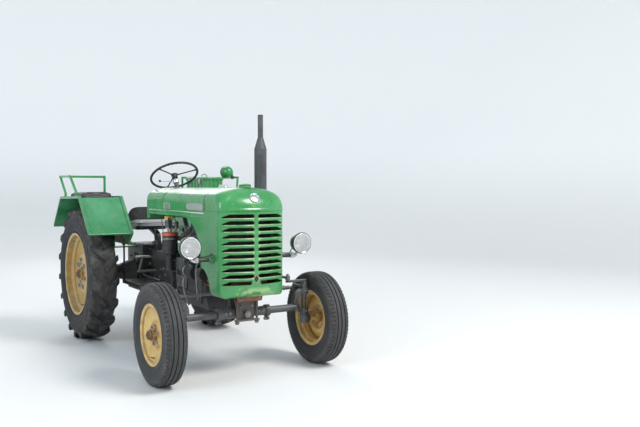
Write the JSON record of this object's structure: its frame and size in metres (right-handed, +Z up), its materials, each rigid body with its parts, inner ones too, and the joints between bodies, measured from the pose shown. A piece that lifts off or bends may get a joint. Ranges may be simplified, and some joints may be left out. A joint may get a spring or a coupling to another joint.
{
  "type": "vintage tractor",
  "caption": "Open vintage tractor with a louvred nose, rounded hood, wide flat-topped rear fenders, steered front wheels and a rear tow jaw.",
  "frame": {"origin": "on the ground under the middle of the tractor's length and width", "axes": "+Z up, the tractor faces -Y, +X is its left side"},
  "size_m": [1.6, 2.9075, 2.01],
  "materials": {
    "green_paint": "glossy enamel, touched up",
    "ochre_paint": "glossy enamel with worn spots",
    "tyre": "weathered rubber",
    "dark_iron": "oily dark casting",
    "red_iron": "faded red primer",
    "black_paint": "satin black",
    "bright_steel": "plated",
    "grip": "smooth black",
    "lens": "clear ribbed",
    "vinyl": "grained black vinyl",
    "grey_vinyl": "grained grey vinyl"
  },
  "bodies": {
    "chassis": {"engine_block": "dark_iron", "cylinder_head": "dark_iron", "gearbox": "dark_iron", "rear_axle": "dark_iron", "front_bolster": "red_iron", "front_axle": "dark_iron", "nose": "green_paint", "radiator": "black_paint", "hood": "green_paint", "fuel_tank": "green_paint", "exhaust": "black_paint", "air_filter": "black_paint", "fuel_pump": "dark_iron", "fan": "black_paint", "generator": "dark_iron", "filler_caps": "bright_steel", "dashboard": "green_paint", "steering_box": "dark_iron", "steering_column": "black_paint", "headlights": "green_paint", "headlight_glass": "lens", "fender_left": "green_paint", "fender_right": "green_paint", "handrail_left": "green_paint", "handrail_right": "green_paint", "fender_cushion": "vinyl", "tool_box": "green_paint", "work_lamp": "green_paint", "driver_seat": "black_paint", "seat_cushion": "grey_vinyl", "footplates": "green_paint", "pedals": "dark_iron", "levers": "dark_iron", "rear_hitch": "dark_iron"},
    "knuckle_left": {"knuckle_left": "dark_iron"},
    "knuckle_right": {"knuckle_right": "dark_iron"},
    "front_wheel_left": {"front_rim_left": "ochre_paint", "front_tyre_left": "tyre"},
    "front_wheel_right": {"front_rim_right": "ochre_paint", "front_tyre_right": "tyre"},
    "tie_rod": {"tie_rod": "dark_iron"},
    "drag_link": {"drag_link": "dark_iron"},
    "drop_arm": {"drop_arm_lever": "dark_iron"},
    "steering_wheel": {"steering_wheel": "grip"},
    "rear_wheel_left": {"rear_rim_left": "ochre_paint", "rear_tyre_left": "tyre"},
    "rear_wheel_right": {"rear_rim_right": "ochre_paint", "rear_tyre_right": "tyre"}
  },
  "joints": [
    {"name": "steer_left", "type": "hinge", "parent": "chassis", "child": "knuckle_left", "pos_m": [0.545, -1.08625, 0.5], "axis": [0, 0, 1], "range_deg": [-36, 36]},
    {"name": "steer_right", "type": "hinge", "parent": "chassis", "child": "knuckle_right", "pos_m": [-0.545, -1.08625, 0.5], "axis": [0, 0, 1], "range_deg": [-36, 36]},
    {"name": "tie_rod_pivot", "type": "hinge", "parent": "knuckle_left", "child": "tie_rod", "pos_m": [0.545, -0.93625, 0.5997], "axis": [0, 0, 1], "range_deg": [-36, 36]},
    {"name": "drag_link_pivot", "type": "hinge", "parent": "knuckle_left", "child": "drag_link", "pos_m": [0.395, -1.08625, 0.7], "axis": [0, 0, 1], "range_deg": [-36, 36]},
    {"name": "drop_arm_swing", "type": "hinge", "parent": "chassis", "child": "drop_arm", "pos_m": [0.25, -0.07625, 0.925], "axis": [-1, 0, 0], "range_deg": [-24, 24]},
    {"name": "steering_turn", "type": "hinge", "parent": "chassis", "child": "steering_wheel", "pos_m": [0, 0.28075, 1.52], "axis": [0, 0.5299, 0.848], "range_deg": [-500, 500]},
    {"name": "roll_front_left", "type": "hinge", "parent": "knuckle_left", "child": "front_wheel_left", "pos_m": [0.664, -1.08625, 0.3675], "axis": [1, 0, 0], "continuous": true},
    {"name": "roll_front_right", "type": "hinge", "parent": "knuckle_right", "child": "front_wheel_right", "pos_m": [-0.664, -1.08625, 0.3675], "axis": [1, 0, 0], "continuous": true},
    {"name": "roll_rear_left", "type": "hinge", "parent": "chassis", "child": "rear_wheel_left", "pos_m": [0.64, 0.84375, 0.61], "axis": [1, 0, 0], "continuous": true},
    {"name": "roll_rear_right", "type": "hinge", "parent": "chassis", "child": "rear_wheel_right", "pos_m": [-0.64, 0.84375, 0.61], "axis": [1, 0, 0], "continuous": true}
  ],
  "couplings": [
    {"joint": "steer_right", "follows": "steer_left", "ratio": 1},
    {"joint": "tie_rod_pivot", "follows": "steer_left", "ratio": -1},
    {"joint": "drag_link_pivot", "follows": "steer_left", "ratio": -1},
    {"joint": "drop_arm_swing", "follows": "steer_left", "ratio": 0.65},
    {"joint": "steering_turn", "follows": "steer_left", "ratio": 13.75}
  ]
}
